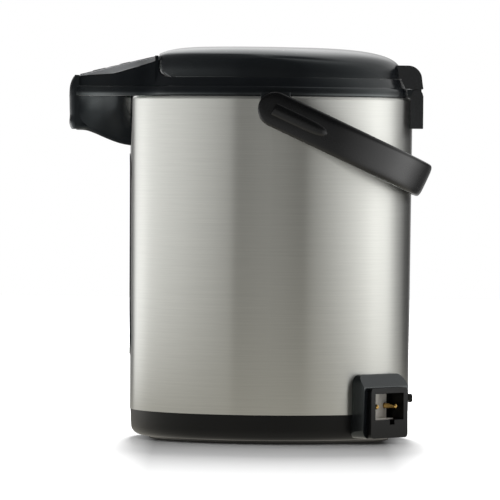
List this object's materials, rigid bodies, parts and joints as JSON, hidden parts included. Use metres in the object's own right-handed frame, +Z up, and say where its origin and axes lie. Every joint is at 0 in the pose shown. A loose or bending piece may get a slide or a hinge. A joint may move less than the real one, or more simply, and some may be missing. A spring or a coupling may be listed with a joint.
{
  "type": "electric thermo pot",
  "caption": "Steel-clad electric thermo pot with a front spout under a sloping control panel, a hinged lid, a swinging bail handle, a rear power inlet and a turntable foot.",
  "frame": {"origin": "On the pot's vertical axis at table level, where the non-slip ring of the turntable rests.", "axes": "+Z up. -Y is the front, with the spout and the panel; +Y is the rear, with the lid's hinge. +X is the side from which the power inlet is nearer."},
  "size_m": [0.2422, 0.2754, 0.2968],
  "materials": {
    "brushed_shell": "fine horizontal brush",
    "vessel_steel": "smooth",
    "fastener_steel": "turned",
    "keeper_steel": "plated",
    "black_gloss": "polished",
    "black_satin": "satin",
    "bezel_grey": "metallic lacquer",
    "fascia_dark": "hard coat",
    "button_grey": "fine grain",
    "clear_window": "clear",
    "smoked_window": "smoked",
    "lens_amber": "clear tint",
    "silicone": "milky",
    "black_rubber": "matt",
    "natural_plastic": "natural",
    "circuit_green": "solder mask",
    "motor_can": "drawn",
    "heater_mica": "mica and steel band",
    "thermostat_body": "glazed",
    "contact_brass": "polished"
  },
  "bodies": {
    "pot": {"outer_shell": "brushed_shell", "base_moulding": "black_satin", "bottom_plate": "black_satin", "base_screws": "fastener_steel", "turntable_screw": "fastener_steel", "inner_vessel": "vessel_steel", "outlet_strainer": "vessel_steel", "vessel_gasket": "silicone", "band_heater": "heater_mica", "thermostats": "thermostat_body", "pump_motor": "motor_can", "pump_housing": "natural_plastic", "suction_hose": "silicone", "riser_elbow": "silicone", "riser_tube": "clear_window", "spout_pipe": "natural_plastic", "level_window": "clear_window", "window_frame": "black_satin", "power_board": "circuit_green", "collar": "black_gloss", "bezel": "bezel_grey", "fascia": "fascia_dark", "display_window": "smoked_window", "indicator_lenses": "lens_amber", "control_board": "circuit_green", "beak_cover": "black_gloss", "front_plate": "black_gloss", "inlet_frame": "black_gloss", "inlet_housing": "black_satin", "keeper_plate": "keeper_steel", "contact_pins": "contact_brass", "rear_bumper": "black_rubber", "hinge_block": "black_satin", "hinge_pin": "fastener_steel", "bail_pins": "fastener_steel"},
    "lid": {"lid_cover": "black_gloss", "lid_base": "black_satin", "inner_lid_plate": "vessel_steel", "lid_gasket": "silicone", "steam_vent_cap": "black_satin", "lever_pin": "fastener_steel"},
    "lever": {"release_lever": "black_gloss"},
    "catch": {"lid_catch": "natural_plastic"},
    "bail": {"bail_handle": "black_satin"},
    "dispense_key": {"dispense_button": "button_grey"},
    "unlock_key": {"unlock_button": "button_grey"},
    "reboil_key": {"reboil_button": "button_grey"},
    "select_key": {"select_button": "button_grey"},
    "swivel_foot": {"turntable": "black_satin", "grip_ring": "black_rubber"},
    "impeller": {"pump_impeller": "natural_plastic"}
  },
  "joints": [
    {"name": "lid_hinge", "type": "hinge", "parent": "pot", "child": "lid", "pos_m": [0, 0.1099, 0.261], "axis": [-1, 0, 0], "range_deg": [0, 85]},
    {"name": "lever_hinge", "type": "hinge", "parent": "lid", "child": "lever", "pos_m": [0, -0.0376, 0.2932], "axis": [-1, 0, 0], "range_deg": [0, 25], "stiffness_Nm_per_rad": 0.04, "springref_deg": -11.46},
    {"name": "catch_slide", "type": "slide", "parent": "lid", "child": "catch", "axis": [0, 1, 0], "range_m": [0, 0.003]},
    {"name": "bail_pivot", "type": "hinge", "parent": "pot", "child": "bail", "pos_m": [0, 0.0025, 0.249], "axis": [1, 0, 0], "range_deg": [0, 115]},
    {"name": "dispense_press", "type": "slide", "parent": "pot", "child": "dispense_key", "axis": [0, 0.2284, -0.9736], "range_m": [0, 0.0008], "stiffness_N_per_m": 500, "springref_m": -0.001},
    {"name": "unlock_press", "type": "slide", "parent": "pot", "child": "unlock_key", "axis": [0, 0.2284, -0.9736], "range_m": [0, 0.0008], "stiffness_N_per_m": 500, "springref_m": -0.001},
    {"name": "reboil_press", "type": "slide", "parent": "pot", "child": "reboil_key", "axis": [0, 0.2284, -0.9736], "range_m": [0, 0.0008], "stiffness_N_per_m": 500, "springref_m": -0.001},
    {"name": "select_press", "type": "slide", "parent": "pot", "child": "select_key", "axis": [0, 0.2284, -0.9736], "range_m": [0, 0.0008], "stiffness_N_per_m": 500, "springref_m": -0.001},
    {"name": "foot_swivel", "type": "hinge", "parent": "pot", "child": "swivel_foot", "pos_m": [0, 0, 0.003], "axis": [0, 0, 1], "continuous": true},
    {"name": "impeller_spin", "type": "hinge", "parent": "pot", "child": "impeller", "pos_m": [-0.011, -0.04, 0.035], "axis": [0, 0, 1], "continuous": true}
  ],
  "couplings": [
    {"joint": "catch_slide", "follows": "lever_hinge", "m_per_rad": 0.00687}
  ]
}
